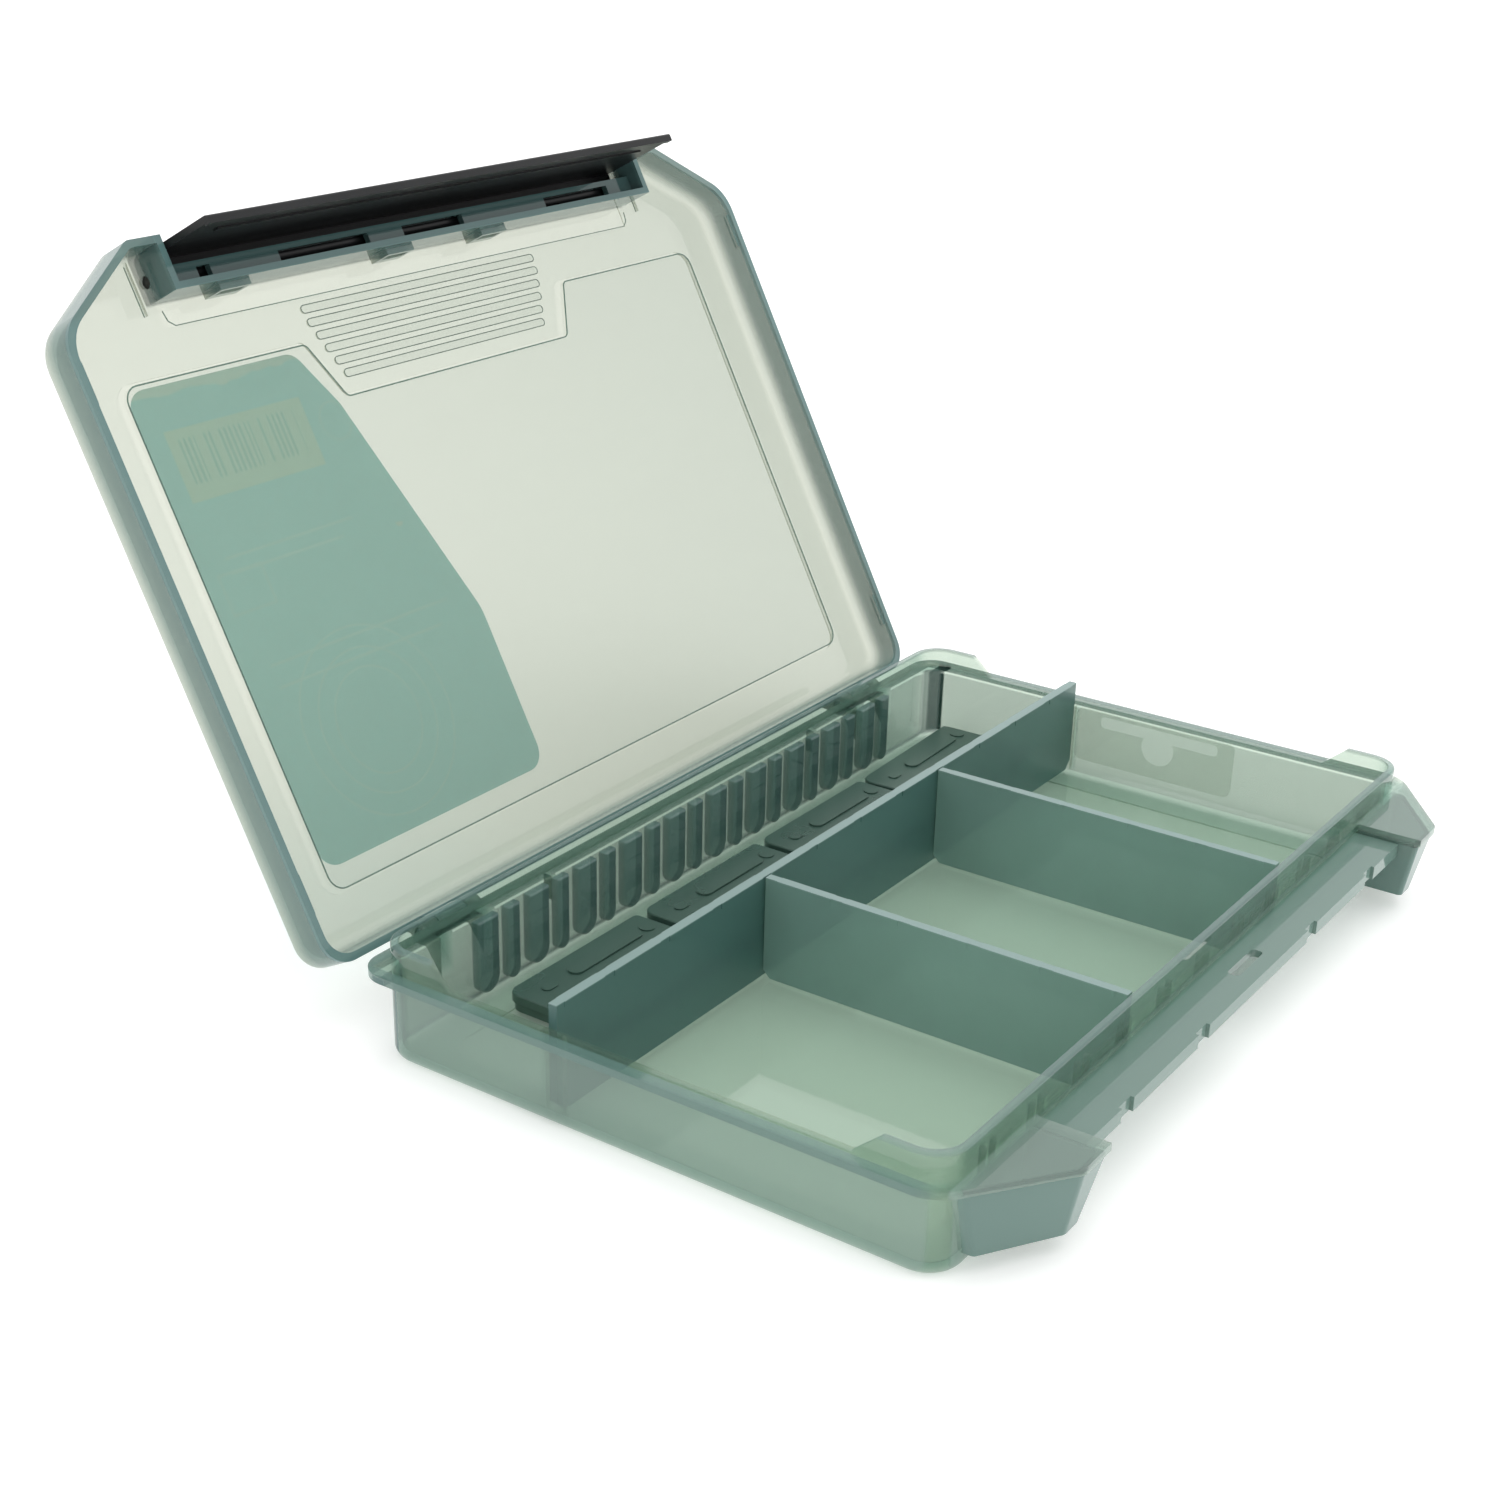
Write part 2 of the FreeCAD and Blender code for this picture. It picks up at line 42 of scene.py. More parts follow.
# %% [markdown]
# ## Where things are on the lid
# The lid is drawn as if it were closed and then swung open about the hinge pins. The
# same turn is used here, so that a line on the lid can be given in closed-lid
# millimetres: x along the hinge, y from the latch side (negative) to the hinge side.

# %% Closed-lid coordinates
HINGE = Vector((0.0, 0.066, 0.0165))
OPEN_ANGLE = math.radians(-118.0)
OPEN_TURN = Matrix.Translation(HINGE) @ Matrix.Rotation(OPEN_ANGLE, 4, "X") @ Matrix.Translation(-HINGE)
CLOSE_ROTATION = (-OPEN_ANGLE, 0.0, 0.0)
CLOSE_SHIFT = tuple(HINGE - Matrix.Rotation(-OPEN_ANGLE, 3, "X") @ HINGE)
UNDER_PANEL = 26.8
UNDER_RIM = 27.3


def on_lid(x, y, z):
    return OPEN_TURN @ Vector((x / 1000.0, y / 1000.0, z / 1000.0))


print("latch side of the open lid at height", round(on_lid(0, -73.8, 28.7).z, 4))

# %% [markdown]
# ## A small kit for shader graphs
# Every finish below is a short graph of nodes. These helpers add a node, set its
# inputs and link it, so that each material reads as a list of its layers.
# All patterns use Object coordinates: one unit is one metre on the real box.

# %% Shader helpers


def new_material(name):
    material = bpy.data.materials.new(name)
    material.use_nodes = True
    tree = material.node_tree
    tree.nodes.clear()
    return material, tree


def node(tree, kind, inputs=None, **settings):
    made = tree.nodes.new(kind)
    for key, value in settings.items():
        setattr(made, key, value)
    for key, value in (inputs or {}).items():
        if isinstance(value, bpy.types.NodeSocket):
            tree.links.new(value, made.inputs[key])
        else:
            made.inputs[key].default_value = value
    return made


def maths(tree, operation, a, b=0.0, clamp=False):
    return node(tree, "ShaderNodeMath", {0: a, 1: b}, operation=operation, use_clamp=clamp).outputs[0]


def place(tree, scale=(1, 1, 1), rotation=(0, 0, 0), location=(0, 0, 0)):
    coordinates = node(tree, "ShaderNodeTexCoord").outputs["Object"]
    inputs = {"Vector": coordinates, "Scale": scale, "Rotation": rotation, "Location": location}
    return node(tree, "ShaderNodeMapping", inputs).outputs[0]


def coordinates_of(tree, vector):
    split = node(tree, "ShaderNodeSeparateXYZ", {0: vector})
    return split.outputs[0], split.outputs[1], split.outputs[2]


def noise(tree, vector, scale, detail=3.0, roughness=0.5):
    return node(tree, "ShaderNodeTexNoise",
                {"Vector": vector, "Scale": scale, "Detail": detail, "Roughness": roughness}).outputs["Fac"]


def ramp(tree, value, low, high, to_low, to_high):
    return node(tree, "ShaderNodeMapRange",
                {0: value, 1: low, 2: high, 3: to_low, 4: to_high}).outputs[0]


def colour_mix(tree, factor, a, b):
    mixer = node(tree, "ShaderNodeMix", data_type="RGBA")
    for index, value in ((0, factor), (6, a), (7, b)):
        if isinstance(value, bpy.types.NodeSocket):
            tree.links.new(value, mixer.inputs[index])
        else:
            mixer.inputs[index].default_value = value
    return mixer.outputs[2]


def bump(tree, height, strength, distance):
    inputs = {"Height": height, "Strength": strength, "Distance": distance}
    return node(tree, "ShaderNodeBump", inputs).outputs[0]


def inside(tree, value, low, high, soft=0.0002):
    """1 between low and high, 0 outside, with a soft border."""
    rise = ramp(tree, value, low - soft, low + soft, 0.0, 1.0)
    fall = ramp(tree, value, high - soft, high + soft, 1.0, 0.0)
    return maths(tree, "MULTIPLY", rise, fall)


print("shader helpers ready")

# %% [markdown]
# ## Tinted clear plastic
# Polypropylene this thin lets most light through, mirrors a little, and is slightly
# milky. The surface is a mix of three things: a see-through layer with a warm green
# tint, a clear gloss that grows at glancing angles, and a teal milkiness that also
# grows where the wall is seen edge on. Inside the wall light is absorbed with depth,
# which is why ribs, lips and rims look darker than flat areas. Where the moulding is
# thick (ribs, flange, rims, the latch shelf) the milkiness is raised as well. The latch
# shelf is also made dark teal-black, as painted shade for the black latch behind it,
# and the tray lip and the tops of the partitions get painted highlight lines. A map of
# each of these places is made from plain box tests on the coordinates.

# %% Build the clear plastic
BODY_X = 0.0998
BODY_Y = 0.0606


def tray_position(tree):
    return coordinates_of(tree, place(tree))


def lid_position(tree):
    return coordinates_of(tree, place(tree, (1, 1, 1), CLOSE_ROTATION, CLOSE_SHIFT))


def beyond(tree, value, limit):
    """1 where the size of value passes limit."""
    return ramp(tree, maths(tree, "ABSOLUTE", value), limit, limit + 0.0004, 0.0, 1.0)


def before_front_wall(tree, y):
    """1 in front of the tray body, on the side of the latch."""
    return ramp(tree, y, -BODY_Y - 0.0005, -BODY_Y - 0.0001, 1.0, 0.0)


def on_ribs(tree):
    _, y, z = tray_position(tree)
    return maths(tree, "MULTIPLY", inside(tree, y, 0.0560, 0.0590), inside(tree, z, 0.0019, 0.0186))


def on_flange(tree):
    """The flat rim along both sides and the rear, fading out towards the ears."""
    x, y, z = tray_position(tree)
    rear = ramp(tree, y, BODY_Y + 0.0001, BODY_Y + 0.0005, 0.0, 1.0)
    outer = maths(tree, "MAXIMUM", beyond(tree, x, BODY_X + 0.0001), rear)
    side = maths(tree, "MULTIPLY", outer, ramp(tree, y, -0.0600, -0.0560, 0.0, 1.0))
    return maths(tree, "MULTIPLY", side, inside(tree, z, 0.0170, 0.0192))


def on_ear_legs(tree):
    x, y, z = tray_position(tree)
    ends = maths(tree, "MULTIPLY", before_front_wall(tree, y), beyond(tree, x, 0.0725))
    return maths(tree, "MULTIPLY", ends, inside(tree, z, 0.0010, 0.0170))


def on_ear_plates(tree):
    x, y, z = tray_position(tree)
    ends = maths(tree, "MULTIPLY", before_front_wall(tree, y), beyond(tree, x, 0.0715))
    return maths(tree, "MULTIPLY", ends, inside(tree, z, 0.0172, 0.0192))


def on_front_parts(tree):
    """The ledge and the ear legs: all that stands below the flange before the body."""
    _, y, z = tray_position(tree)
    return maths(tree, "MULTIPLY", before_front_wall(tree, y), inside(tree, z, 0.0010, 0.0169))


def on_outer_walls(tree):
    x, y, z = tray_position(tree)
    outer = maths(tree, "MAXIMUM", beyond(tree, x, BODY_X - 0.0010), beyond(tree, y, BODY_Y - 0.0010))
    return maths(tree, "MULTIPLY", outer, inside(tree, z, -0.0010, 0.0170))


def latch_shelf_shade(tree):
    # painted shade: the shelf is made dark for the black latch seen behind it
    x, y, _ = lid_position(tree)
    front = ramp(tree, y, -0.0634, -0.0628, 1.0, 0.0)
    return maths(tree, "MULTIPLY", front, inside(tree, x, -0.0740, 0.0740))


def on_skirt(tree):
    _, _, z = lid_position(tree)
    return ramp(tree, z, 0.0240, 0.0272, 1.0, 0.0)


def on_rim(tree):
    """The lower edge of the skirt, weaker between the ears."""
    _, y, z = lid_position(tree)
    edge = ramp(tree, z, 0.0197, 0.0203, 1.0, 0.0)
    return maths(tree, "MULTIPLY", edge, ramp(tree, y, -0.0626, -0.0600, 0.35, 1.0))


def tray_lip_highlight(tree):
    # painted highlight: a lighter, milkier line along the top of the tray lip
    _, _, z = tray_position(tree)
    return ramp(tree, z, 0.0230, 0.0235, 0.0, 1.0)


def divider_top_highlight(tree):
    # painted highlight: the top edges of the partitions are made lighter
    _, _, z = tray_position(tree)
    return ramp(tree, z, 0.0235, 0.02375, 0.0, 1.0)


def clear_plastic(name, milk, edge_milk, milk_colour, tint, absorb, density, roughness, thick_and_painted_zones=()):
    """thick_and_painted_zones: (map, added milkiness, colour) for each thick part of the moulding, and for
    each place of painted shade or painted highlight.
    """
    material, tree = new_material(name)
    flow = noise(tree, place(tree, (1, 1.6, 1)), 26.0, 4.0)
    fine = noise(tree, place(tree), 1400.0, 2.0)
    scuffs = noise(tree, place(tree, (20, 260, 60), (0, 0, 0.4)), 3.0, 5.0, 0.7)
    worn = ramp(tree, scuffs, 0.66, 0.80, 0.0, 0.04)
    rough = maths(tree, "ADD", ramp(tree, flow, 0.3, 0.7, roughness * 0.8, roughness * 1.2), worn)
    normal = bump(tree, fine, 0.10, 0.00002)
    facing = node(tree, "ShaderNodeLayerWeight", {"Blend": 0.5, "Normal": normal}).outputs["Facing"]
    steep = maths(tree, "POWER", facing, 3.0)
    amount = maths(tree, "ADD", ramp(tree, steep, 0.0, 1.0, milk, edge_milk), worn)
    deep = tuple(c * 0.9 for c in milk_colour[:3]) + (1.0,)
    body_colour = colour_mix(tree, ramp(tree, flow, 0.35, 0.65, 0.0, 1.0), deep, milk_colour)
    for zone, added, colour in thick_and_painted_zones:
        mask = zone(tree)
        amount = maths(tree, "ADD", amount, maths(tree, "MULTIPLY", mask, added), clamp=True)
        body_colour = colour_mix(tree, mask, body_colour, colour)
    body = node(tree, "ShaderNodeBsdfPrincipled",
                {"Base Color": body_colour, "Roughness": rough, "Normal": normal})
    through = node(tree, "ShaderNodeBsdfTransparent", {"Color": tint})
    mirror = node(tree, "ShaderNodeBsdfGlossy", {"Color": (1, 1, 1, 1), "Roughness": rough, "Normal": normal})
    glance = ramp(tree, maths(tree, "POWER", facing, 4.0), 0.0, 1.0, 0.04, 0.85)
    sheet = node(tree, "ShaderNodeMixShader", {0: glance, 1: through.outputs[0], 2: mirror.outputs[0]})
    surface = node(tree, "ShaderNodeMixShader", {0: amount, 1: sheet.outputs[0], 2: body.outputs[0]})
    depth = node(tree, "ShaderNodeVolumeAbsorption", {"Color": absorb, "Density": density})
    node(tree, "ShaderNodeOutputMaterial", {"Surface": surface.outputs[0], "Volume": depth.outputs[0]})
    print("material", name, "with", len(tree.nodes), "nodes")
    return material


tray_zones = [
    (on_outer_walls, 0.40, (0.215, 0.300, 0.270, 1)),
    (on_flange, 0.52, (0.130, 0.225, 0.205, 1)),
    (on_front_parts, 0.20, (0.160, 0.255, 0.222, 1)),
    (on_ear_legs, 0.22, (0.120, 0.205, 0.180, 1)),
    (on_ear_plates, 0.32, (0.270, 0.370, 0.330, 1)),
    (on_ribs, 0.62, (0.066, 0.130, 0.122, 1)),
    # painted highlight line along the top of the tray lip
    (tray_lip_highlight, 0.35, (0.170, 0.255, 0.250, 1)),
]
lid_zones = [
    (on_skirt, 0.50, (0.118, 0.205, 0.192, 1)),
    # painted shade: the latch shelf's dark colour stands in for the black latch behind it
    (latch_shelf_shade, 0.50, (0.060, 0.115, 0.112, 1)),
    (on_rim, 0.30, (0.105, 0.195, 0.190, 1)),
]
# painted highlight: a lighter colour along the top edges of the partitions
divider_highlight_zones = [(divider_top_highlight, 0.25, (0.225, 0.325, 0.310, 1))]
tray_plastic = clear_plastic(
    "tray_plastic", milk=0.070, edge_milk=0.42, milk_colour=(0.165, 0.265, 0.235, 1),
    tint=(0.903, 0.922, 0.872, 1), absorb=(0.26, 0.55, 0.47, 1), density=240.0,
    roughness=0.04, thick_and_painted_zones=tray_zones)
lid_plastic = clear_plastic(
    "lid_plastic", milk=0.055, edge_milk=0.50, milk_colour=(0.175, 0.265, 0.245, 1),
    tint=(0.872, 0.872, 0.824, 1), absorb=(0.40, 0.50, 0.45, 1), density=240.0,
    roughness=0.04, thick_and_painted_zones=lid_zones)
# painted shade: the long partition is the same plastic as the short ones, made darker because its face lies
# in shade
shaded_long_wall_plastic = clear_plastic(
    "long_divider_plastic", milk=0.62, edge_milk=0.78, milk_colour=(0.070, 0.162, 0.152, 1),
    tint=(0.66, 0.80, 0.74, 1), absorb=(0.34, 0.62, 0.54, 1), density=180.0,
    roughness=0.36, thick_and_painted_zones=divider_highlight_zones)
short_wall_plastic = clear_plastic(
    "short_divider_plastic", milk=0.60, edge_milk=0.74, milk_colour=(0.222, 0.362, 0.328, 1),
    tint=(0.74, 0.86, 0.80, 1), absorb=(0.34, 0.62, 0.54, 1), density=160.0,
    roughness=0.36, thick_and_painted_zones=divider_highlight_zones)
spare_plastic = clear_plastic(
    "spare_plastic", milk=0.70, edge_milk=0.85, milk_colour=(0.068, 0.135, 0.108, 1),
    tint=(0.55, 0.68, 0.66, 1), absorb=(0.30, 0.45, 0.42, 1), density=500.0, roughness=0.30)
tab_film = clear_plastic(
    "tab_film", milk=0.05, edge_milk=0.2, milk_colour=(0.30, 0.40, 0.34, 1),
    tint=(0.955, 0.965, 0.945, 1), absorb=(0.5, 0.6, 0.6, 1), density=60.0, roughness=0.10)
# painted shade: the beads are darker, milkier plastic that stands in for the shade on each small step
step_shade_plastic = clear_plastic(
    "step_shade_line", milk=0.42, edge_milk=0.75, milk_colour=(0.16, 0.26, 0.23, 1),
    tint=(0.55, 0.66, 0.60, 1), absorb=(0.4, 0.6, 0.5, 1), density=300.0, roughness=0.12)

# %% [markdown]
# ## Satin black latch
# The latch is a filled plastic with a fine spark-eroded grain, rubbed a little along
# its edges.

# %% Latch finish


def latch_finish():
    material, tree = new_material("latch_plastic")
    grain = noise(tree, place(tree), 2600.0, 2.0)
    cloud = noise(tree, place(tree), 40.0, 4.0)
    rub = noise(tree, place(tree, (6, 90, 90)), 4.0, 5.0, 0.7)
    colour = colour_mix(tree, ramp(tree, cloud, 0.3, 0.7, 0.0, 1.0),
                        (0.006, 0.0065, 0.007, 1), (0.011, 0.012, 0.013, 1))
    colour = colour_mix(tree, ramp(tree, rub, 0.68, 0.82, 0.0, 0.4), colour, (0.04, 0.04, 0.042, 1))
    body = node(tree, "ShaderNodeBsdfPrincipled",
                {"Base Color": colour, "Roughness": ramp(tree, rub, 0.3, 0.8, 0.28, 0.42),
                 "Specular IOR Level": 0.3, "Normal": bump(tree, grain, 0.10, 0.0002)})
    node(tree, "ShaderNodeOutputMaterial", {"Surface": body.outputs[0]})
    return material


latch_plastic = latch_finish()
print("material latch_plastic")

# %% [markdown]
# ## The label
# The label is a thin printed film stuck on the outside of the lid and seen through it.
# The print is generic: a teal ground, a pale uneven band along its upper edge, a light
# box with plain upright bars, a second small frame, a few rules and rings, and pinhead
# air bubbles. It carries no words. The pattern is laid out in closed-lid coordinates,
# so each part of it is a simple box or circle test.

# %% Label print
# places as x0, x1, y0, y1 in metres on the closed lid
BARS_PANEL = (-0.0825, -0.0470, -0.0395, -0.0252)
BARS_FIELD = (-0.0800, -0.0500, -0.0375, -0.0285)
SMALL_FRAME = (-0.0840, -0.0725, -0.0110, -0.0025)
# rings as centre x, centre y, radius, and rules as y, end x
RINGS = ((-0.0400, -0.0330, 0.0040), (-0.060, 0.026, 0.011), (-0.060, 0.026, 0.015), (-0.060, 0.026, 0.0195))
RULES = ((-0.0135, -0.046), (-0.0105, -0.050), (0.0085, -0.030), (0.0130, -0.034))
RULE_START_X = -0.0805
RULE_HALF = 0.0003
FRAME_LINE = 0.0005
RING_LINE = 0.00022


def frame_box(tree, x, y, x0, x1, y0, y1):
    return maths(tree, "MULTIPLY", inside(tree, x, x0, x1), inside(tree, y, y0, y1))


def outline_box(tree, x, y, x0, x1, y0, y1, line):
    outer = frame_box(tree, x, y, x0, x1, y0, y1)
    inner = frame_box(tree, x, y, x0 + line, x1 - line, y0 + line, y1 - line)
    return maths(tree, "SUBTRACT", outer, inner)


def ring(tree, x, y, centre_x, centre_y, radius, line):
    dx = maths(tree, "POWER", maths(tree, "ABSOLUTE", maths(tree, "SUBTRACT", x, centre_x)), 2.0)
    dy = maths(tree, "POWER", maths(tree, "ABSOLUTE", maths(tree, "SUBTRACT", y, centre_y)), 2.0)
    distance = maths(tree, "SQRT", maths(tree, "ADD", dx, dy))
    return inside(tree, distance, radius - line, radius + line, 0.0001)


def label_finish():
    material, tree = new_material("label_film")
    closed = place(tree, (1, 1, 1), CLOSE_ROTATION, CLOSE_SHIFT)
    x, y, _ = coordinates_of(tree, closed)
    grain = noise(tree, closed, 700.0, 3.0)
    wave = maths(tree, "MULTIPLY", maths(tree, "SUBTRACT", noise(tree, closed, 90.0, 4.0), 0.5), 0.006)
    ground = colour_mix(tree, ramp(tree, grain, 0.3, 0.7, 0.0, 1.0),
                        (0.60, 0.88, 0.88, 1), (0.63, 0.90, 0.90, 1))
    band = ramp(tree, maths(tree, "ADD", y, wave), -0.0462, -0.0456, 1.0, 0.0)
    colour = colour_mix(tree, maths(tree, "MULTIPLY", band, 0.85), ground, (0.95, 0.97, 0.88, 1))
    panel = frame_box(tree, x, y, *BARS_PANEL)
    colour = colour_mix(tree, maths(tree, "MULTIPLY", panel, 0.80), colour, (0.88, 0.92, 0.76, 1))
    bars = maths(tree, "GREATER_THAN", maths(tree, "FRACT", maths(tree, "MULTIPLY", x, 780.0)), 0.52)
    thick = maths(tree, "GREATER_THAN", noise(tree, place(tree, (1, 0, 0)), 420.0, 1.0), 0.47)
    field = frame_box(tree, x, y, *BARS_FIELD)
    marks = maths(tree, "MULTIPLY", maths(tree, "MULTIPLY", bars, thick), field)
    colour = colour_mix(tree, maths(tree, "MULTIPLY", marks, 0.6), colour, (0.42, 0.66, 0.60, 1))
    faint = outline_box(tree, x, y, *SMALL_FRAME, FRAME_LINE)
    for centre_x, centre_y, radius in RINGS:
        faint = maths(tree, "MAXIMUM", faint, ring(tree, x, y, centre_x, centre_y, radius, RING_LINE))
    for y_line, x_end in RULES:
        rule = frame_box(tree, x, y, RULE_START_X, x_end, y_line - RULE_HALF, y_line + RULE_HALF)
        faint = maths(tree, "MAXIMUM", faint, rule)
    colour = colour_mix(tree, maths(tree, "MULTIPLY", faint, 0.60), colour, (0.80, 0.93, 0.88, 1))
    spots = node(tree, "ShaderNodeTexVoronoi", {"Vector": closed, "Scale": 85.0}).outputs["Distance"]
    pick = maths(tree, "GREATER_THAN", noise(tree, closed, 60.0, 1.0), 0.56)
    bubbles = maths(tree, "MULTIPLY", ramp(tree, spots, 0.085, 0.105, 1.0, 0.0), pick)
    colour = colour_mix(tree, bubbles, colour, (0.80, 0.88, 0.82, 1))
    body = node(tree, "ShaderNodeBsdfPrincipled",
                {"Base Color": colour, "Roughness": ramp(tree, grain, 0.3, 0.7, 0.35, 0.5)})
    thin = node(tree, "ShaderNodeBsdfTransparent", {"Color": (0.80, 0.98, 0.98, 1)})
    film = node(tree, "ShaderNodeMixShader", {0: 0.54, 1: thin.outputs[0], 2: body.outputs[0]})
    node(tree, "ShaderNodeOutputMaterial", {"Surface": film.outputs[0]})
    return material


label_film = label_finish()
print("material label_film")

# %% [markdown]
# ## Giving each piece its finish
# The tray, the lid and the upright partitions differ in how milky they are. The long
# partition is also made darker than the short ones, as painted shade. Every piece that
# isn't named here is a loose spare partition.

# %% Dress the pieces
finishes = {
    "tray": tray_plastic,
    "lid": lid_plastic,
    "latch": latch_plastic,
    "label": label_film,
    "hang_tab": tab_film,
    "long_divider": shaded_long_wall_plastic,
    "short_divider_left": short_wall_plastic,
    "short_divider_right": short_wall_plastic,
}
for name, piece in nodes.items():
    piece.data.materials.clear()
    piece.data.materials.append(finishes.get(name, spare_plastic))
print("dressed", len(nodes), "pieces")

# %% [markdown]
# ## Painted shade lines at the lid's moulded steps
# The label panel is set down by one small step, and six long grip ribs lie in its
# notch. On the real box each step shows as one thin line, because the little upright
# face turns the light away. The CAD model has the steps. Here each one gets its line
# of painted shade as a hair-thin bead of darker plastic that follows the step. The
# paths are laid out as loops of points, and one Geometry Nodes group sweeps a small
# round section along all of them.

# %% Paths of the lines


def rounded_loop(corners, steps=6):
    """Points of a closed outline from (x, y, radius) corners, with round corners."""
    points = []
    count = len(corners)
    for index, (x, y, radius) in enumerate(corners):
        here = Vector((x, y))
        to_before = (Vector(corners[index - 1][:2]) - here).normalized()
        to_after = (Vector(corners[(index + 1) % count][:2]) - here).normalized()
        half = to_before.angle(to_after) / 2.0
        middle = here + (to_before + to_after).normalized() * (radius / math.sin(half))
        start = here + to_before * (radius / math.tan(half)) - middle
        end = here + to_after * (radius / math.tan(half)) - middle
        turn = start.angle_signed(end)
        for step in range(steps + 1):
            angle = -turn * step / steps
            points.append((middle.x + start.x * math.cos(angle) - start.y * math.sin(angle),
                           middle.y + start.x * math.sin(angle) + start.y * math.cos(angle)))
    return points


def stadium_loop(half, y, radius, steps=8):
    points = []
    for side, base in ((1, -math.pi / 2), (-1, math.pi / 2)):
        for step in range(steps + 1):
            angle = base + math.pi * step / steps
            points.append((side * (half - radius) + radius * math.cos(angle), y + radius * math.sin(angle)))
    return points


PANEL = [
    (88.7, 53.0, 3.4), (-88.7, 53.0, 3.4), (-88.7, -48.9, 3.4), (-41.2, -48.9, 1.6),
    (-35.5, -36.8, 1.6), (35.5, -36.8, 1.6), (41.2, -48.9, 1.6), (88.7, -48.9, 3.4),
]
# y of each grip rib and half its length
GRIP_ROWS = ((-56.2, 36.7), (-53.3, 36.4), (-50.4, 35.4), (-47.5, 34.4), (-44.6, 33.2), (-41.7, 32.1))
GRIP_END_RADIUS = 0.85
GRIP_HEIGHT = 28.72
SHELF_STEP = [(-72.0, -61.5), (-71.6, -59.4), (-70.2, -58.3), (70.2, -58.3), (71.6, -59.4), (72.0, -61.5)]
EAR_RIB_X = 76.6
EAR_RIB_Y = (-71.0, -61.0)


def path_mesh(name, loops, strips):
    """One mesh of bare edges: closed loops and open strips in closed-lid millimetres."""
    verts, edges = [], []
    for points, height in loops:
        first = len(verts)
        verts.extend(on_lid(x, y, height) for x, y in points)
        edges.extend((first + i, first + (i + 1) % len(points)) for i in range(len(points)))
    for points, height in strips:
        first = len(verts)
        verts.extend(on_lid(x, y, height) for x, y in points)
        edges.extend((first + i, first + i + 1) for i in range(len(points) - 1))
    mesh = bpy.data.meshes.new(name)
    mesh.from_pydata(verts, edges, [])
    made = bpy.data.objects.new(name, mesh)
    bpy.context.scene.collection.objects.link(made)
    print(name, "has", len(loops), "loops and", len(strips), "strips")
    return made


panel_path = path_mesh("panel_lines", [(rounded_loop(PANEL), UNDER_PANEL)], [])
grip_loops = [(stadium_loop(half, y, GRIP_END_RADIUS), GRIP_HEIGHT) for y, half in GRIP_ROWS]
grip_path = path_mesh("grip_lines", grip_loops, [])
step_strips = [(SHELF_STEP, UNDER_RIM)]
for side_x in (-EAR_RIB_X, EAR_RIB_X):
    step_strips.append(([(side_x, y) for y in EAR_RIB_Y], UNDER_RIM))
step_path = path_mesh("step_lines", [], step_strips)

# %% [markdown]
# ## Sweeping the lines
# The group takes a mesh of bare edges, makes curves of it and sweeps a small round
# section along them. Each swept mesh is kept as a plain one and rides with the lid.

# %% One sweep group for every line


def sweep_group():
    group = bpy.data.node_groups.new("swept_line", "GeometryNodeTree")
    group.interface.new_socket("Path", in_out="INPUT", socket_type="NodeSocketGeometry")
    group.interface.new_socket("Radius", in_out="INPUT", socket_type="NodeSocketFloat")
    group.interface.new_socket("Sides", in_out="INPUT", socket_type="NodeSocketInt")
    group.interface.new_socket("Material", in_out="INPUT", socket_type="NodeSocketMaterial")
    group.interface.new_socket("Line", in_out="OUTPUT", socket_type="NodeSocketGeometry")
    add, link = group.nodes.new, group.links.new
    given = add("NodeGroupInput")
    result = add("NodeGroupOutput")
    to_curve = add("GeometryNodeMeshToCurve")
    section = add("GeometryNodeCurvePrimitiveCircle")
    sweep = add("GeometryNodeCurveToMesh")
    real = add("GeometryNodeRealizeInstances")
    painted = add("GeometryNodeSetMaterial")
    link(given.outputs["Path"], to_curve.inputs["Mesh"])
    link(given.outputs["Sides"], section.inputs["Resolution"])
    link(given.outputs["Radius"], section.inputs["Radius"])
    link(to_curve.outputs["Curve"], sweep.inputs["Curve"])
    link(section.outputs["Curve"], sweep.inputs["Profile Curve"])
    sweep.inputs["Fill Caps"].default_value = True
    link(sweep.outputs["Mesh"], real.inputs["Geometry"])
    link(real.outputs["Geometry"], painted.inputs["Geometry"])
    link(given.outputs["Material"], painted.inputs["Material"])
    link(painted.outputs["Geometry"], result.inputs["Line"])
    return group


def set_input(modifier, name, value):
    for item in modifier.node_group.interface.items_tree:
        if item.item_type == "SOCKET" and item.in_out == "INPUT" and item.name == name:
            modifier[item.identifier] = value


def sweep_line(path, radius):
    """Sweeps the line, keeps the plain mesh and drops the modifier."""
    modifier = path.modifiers.new("sweep", "NODES")
    modifier.node_group = line_group
    set_input(modifier, "Radius", radius)
    set_input(modifier, "Sides", LINE_SIDES)
    set_input(modifier, "Material", step_shade_plastic)
    depsgraph = bpy.context.evaluated_depsgraph_get()
    plain = bpy.data.meshes.new_from_object(path.evaluated_get(depsgraph))
    path.modifiers.clear()
    path.data = plain
    for face in plain.polygons:
        face.use_smooth = True
    if not plain.materials or plain.materials[0] is None:
        plain.materials.clear()
        plain.materials.append(step_shade_plastic)
    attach(path, "cover")
    print(path.name, "has", len(plain.polygons), "faces")


LINE_SIDES = 6
line_group = sweep_group()
sweep_line(panel_path, 0.00016)
sweep_line(grip_path, 0.00011)
sweep_line(step_path, 0.00012)

# %% [markdown]
# ## Table and studio
# The box lies on a wide pale table. The light is an even white surround, with one wide
# soft box overhead that only adds soft shadows. The soft box is kept out of the mirror
# reflections, so that the clear lid stays even. The table glows a little, which keeps
# the shadows pale.

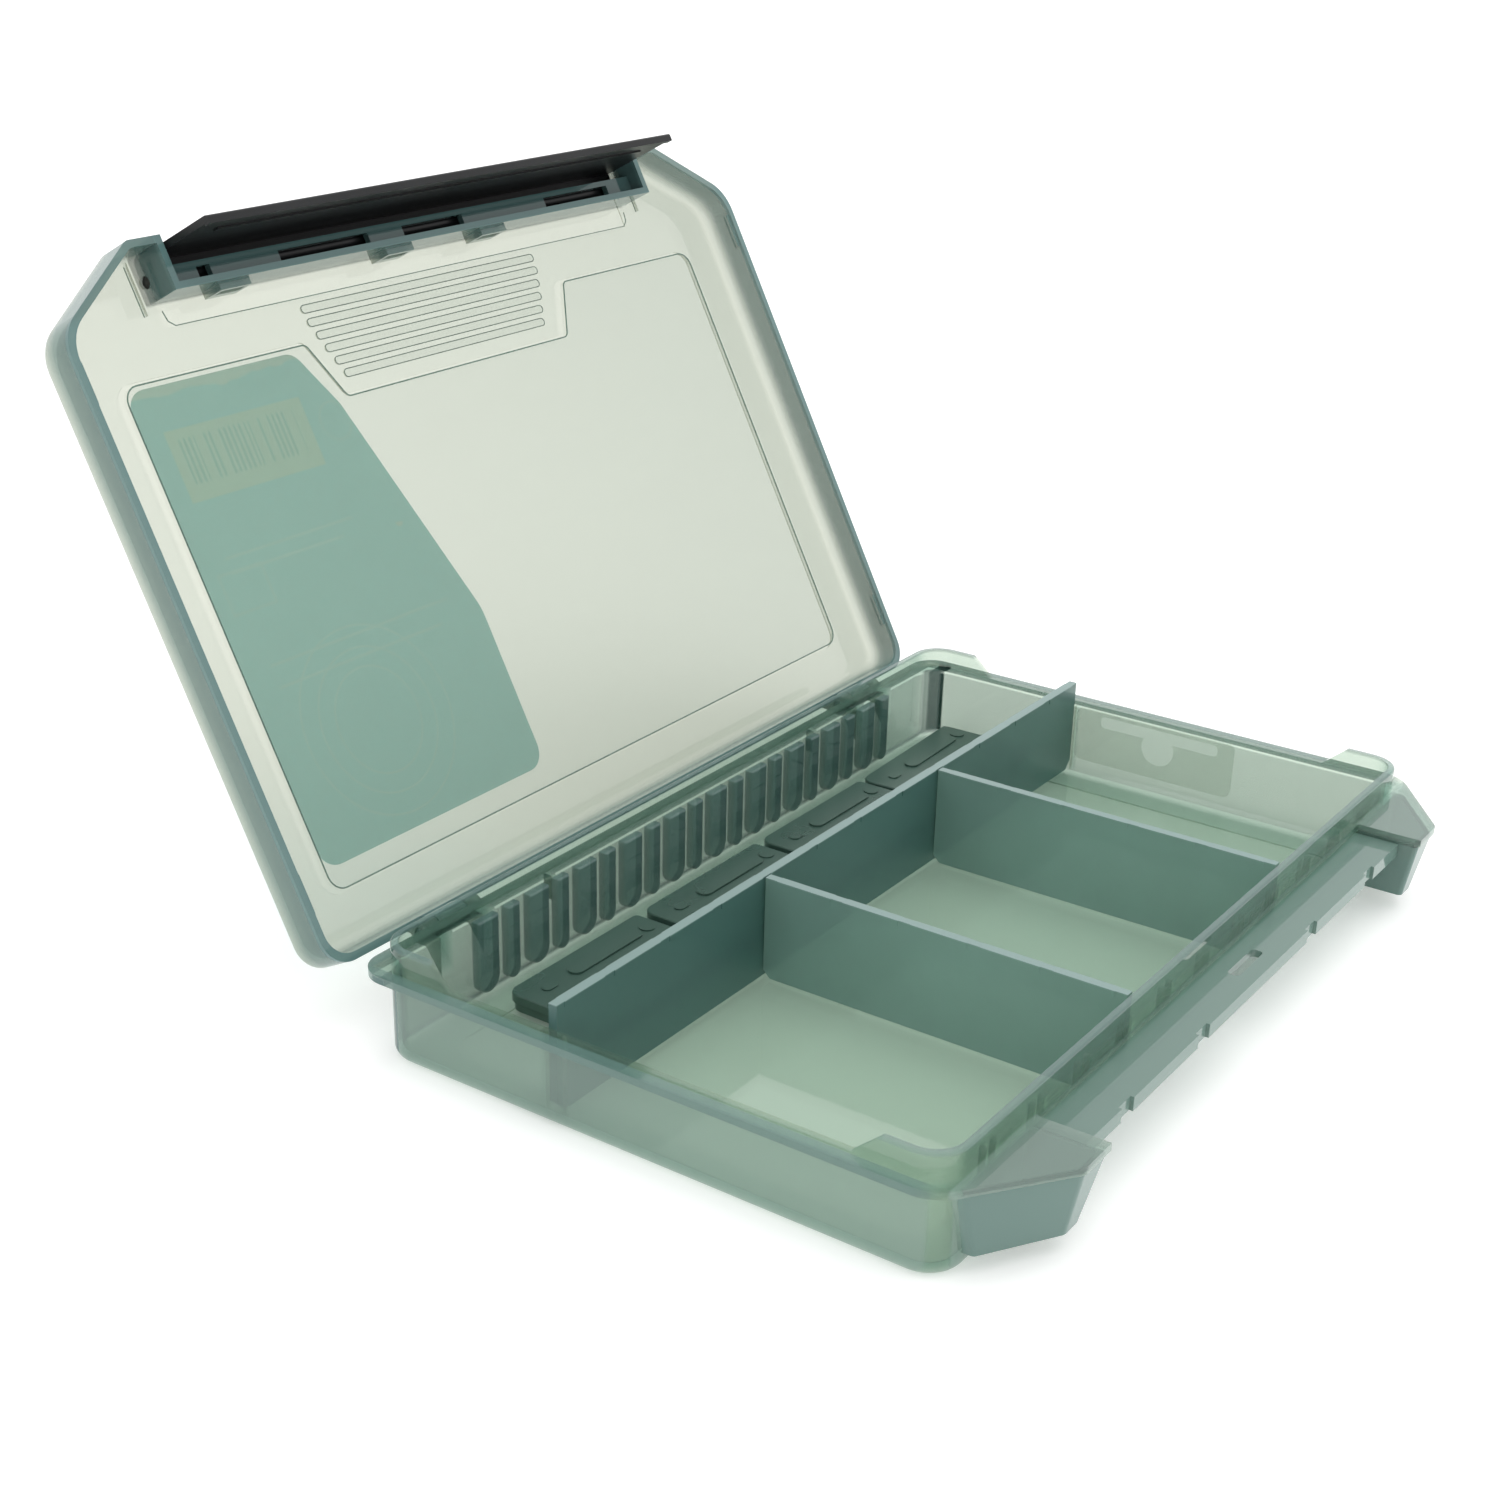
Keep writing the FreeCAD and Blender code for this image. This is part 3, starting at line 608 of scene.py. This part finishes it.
# %% Table
floor_mesh = bpy.data.meshes.new("table_top")
TABLE_HALF = 8.0
TABLE_DROP = 0.0002
corner_signs = ((-1, -1), (1, -1), (1, 1), (-1, 1))
table_corners = [(sx * TABLE_HALF, sy * TABLE_HALF, 0) for sx, sy in corner_signs]
floor_mesh.from_pydata(table_corners, [], [(0, 1, 2, 3)])
floor = bpy.data.objects.new("table_top", floor_mesh)
bpy.context.scene.collection.objects.link(floor)
floor.location.z = -TABLE_DROP
table_paint, tree = new_material("table_paint")
speckle = noise(tree, place(tree), 30.0, 3.0)
paint = node(tree, "ShaderNodeBsdfPrincipled",
             {"Base Color": colour_mix(tree, speckle, (0.885, 0.885, 0.88, 1), (0.905, 0.905, 0.90, 1)),
              "Roughness": 0.7, "Specular IOR Level": 0.2,
              "Emission Color": (1, 1, 1, 1), "Emission Strength": 0.25})
node(tree, "ShaderNodeOutputMaterial", {"Surface": paint.outputs[0]})
floor_mesh.materials.append(table_paint)
print("table", TABLE_HALF * 2, "m wide")

# %% Lights
world = bpy.data.worlds.new("studio")
bpy.context.scene.world = world
world.use_nodes = True
world.node_tree.nodes["Background"].inputs["Color"].default_value = (1, 1, 1, 1)
world.node_tree.nodes["Background"].inputs["Strength"].default_value = 1.12


def softbox(name, centre, target, width, height, power):
    light = bpy.data.lights.new(name, "AREA")
    light.shape = "RECTANGLE"
    light.size = width
    light.size_y = height
    light.energy = power
    lamp = bpy.data.objects.new(name, light)
    bpy.context.scene.collection.objects.link(lamp)
    lamp.location = centre
    lamp.rotation_euler = (Vector(target) - Vector(centre)).to_track_quat("-Z", "Y").to_euler()
    lamp.visible_glossy = False


softbox("overhead", (0.1, -0.2, 1.3), (0, 0, 0), 1.2, 1.2, 5.0)
print("lights ready")

# %% [markdown]
# ## Camera
# The camera looks down at the open box from its front left, close enough for clear
# perspective. A small lens shift places the box in the frame.

# %% Camera
camera_data = bpy.data.cameras.new("camera")
camera = bpy.data.objects.new("camera", camera_data)
bpy.context.scene.collection.objects.link(camera)
camera_data.sensor_width = 36.0
camera_data.lens = 54.27
camera_data.shift_x = 0.0152
camera_data.shift_y = 0.0392
camera_data.clip_start = 0.01
camera.location = (-0.363591, -0.199987, 0.217925)
camera.rotation_euler = [math.radians(angle) for angle in (65.568, -1.082, -54.797)]
bpy.context.scene.camera = camera
bpy.context.scene.view_settings.view_transform = "Standard"
bpy.context.scene.cycles.transparent_max_bounces = 40
print("camera lens", round(camera_data.lens, 2), "mm")
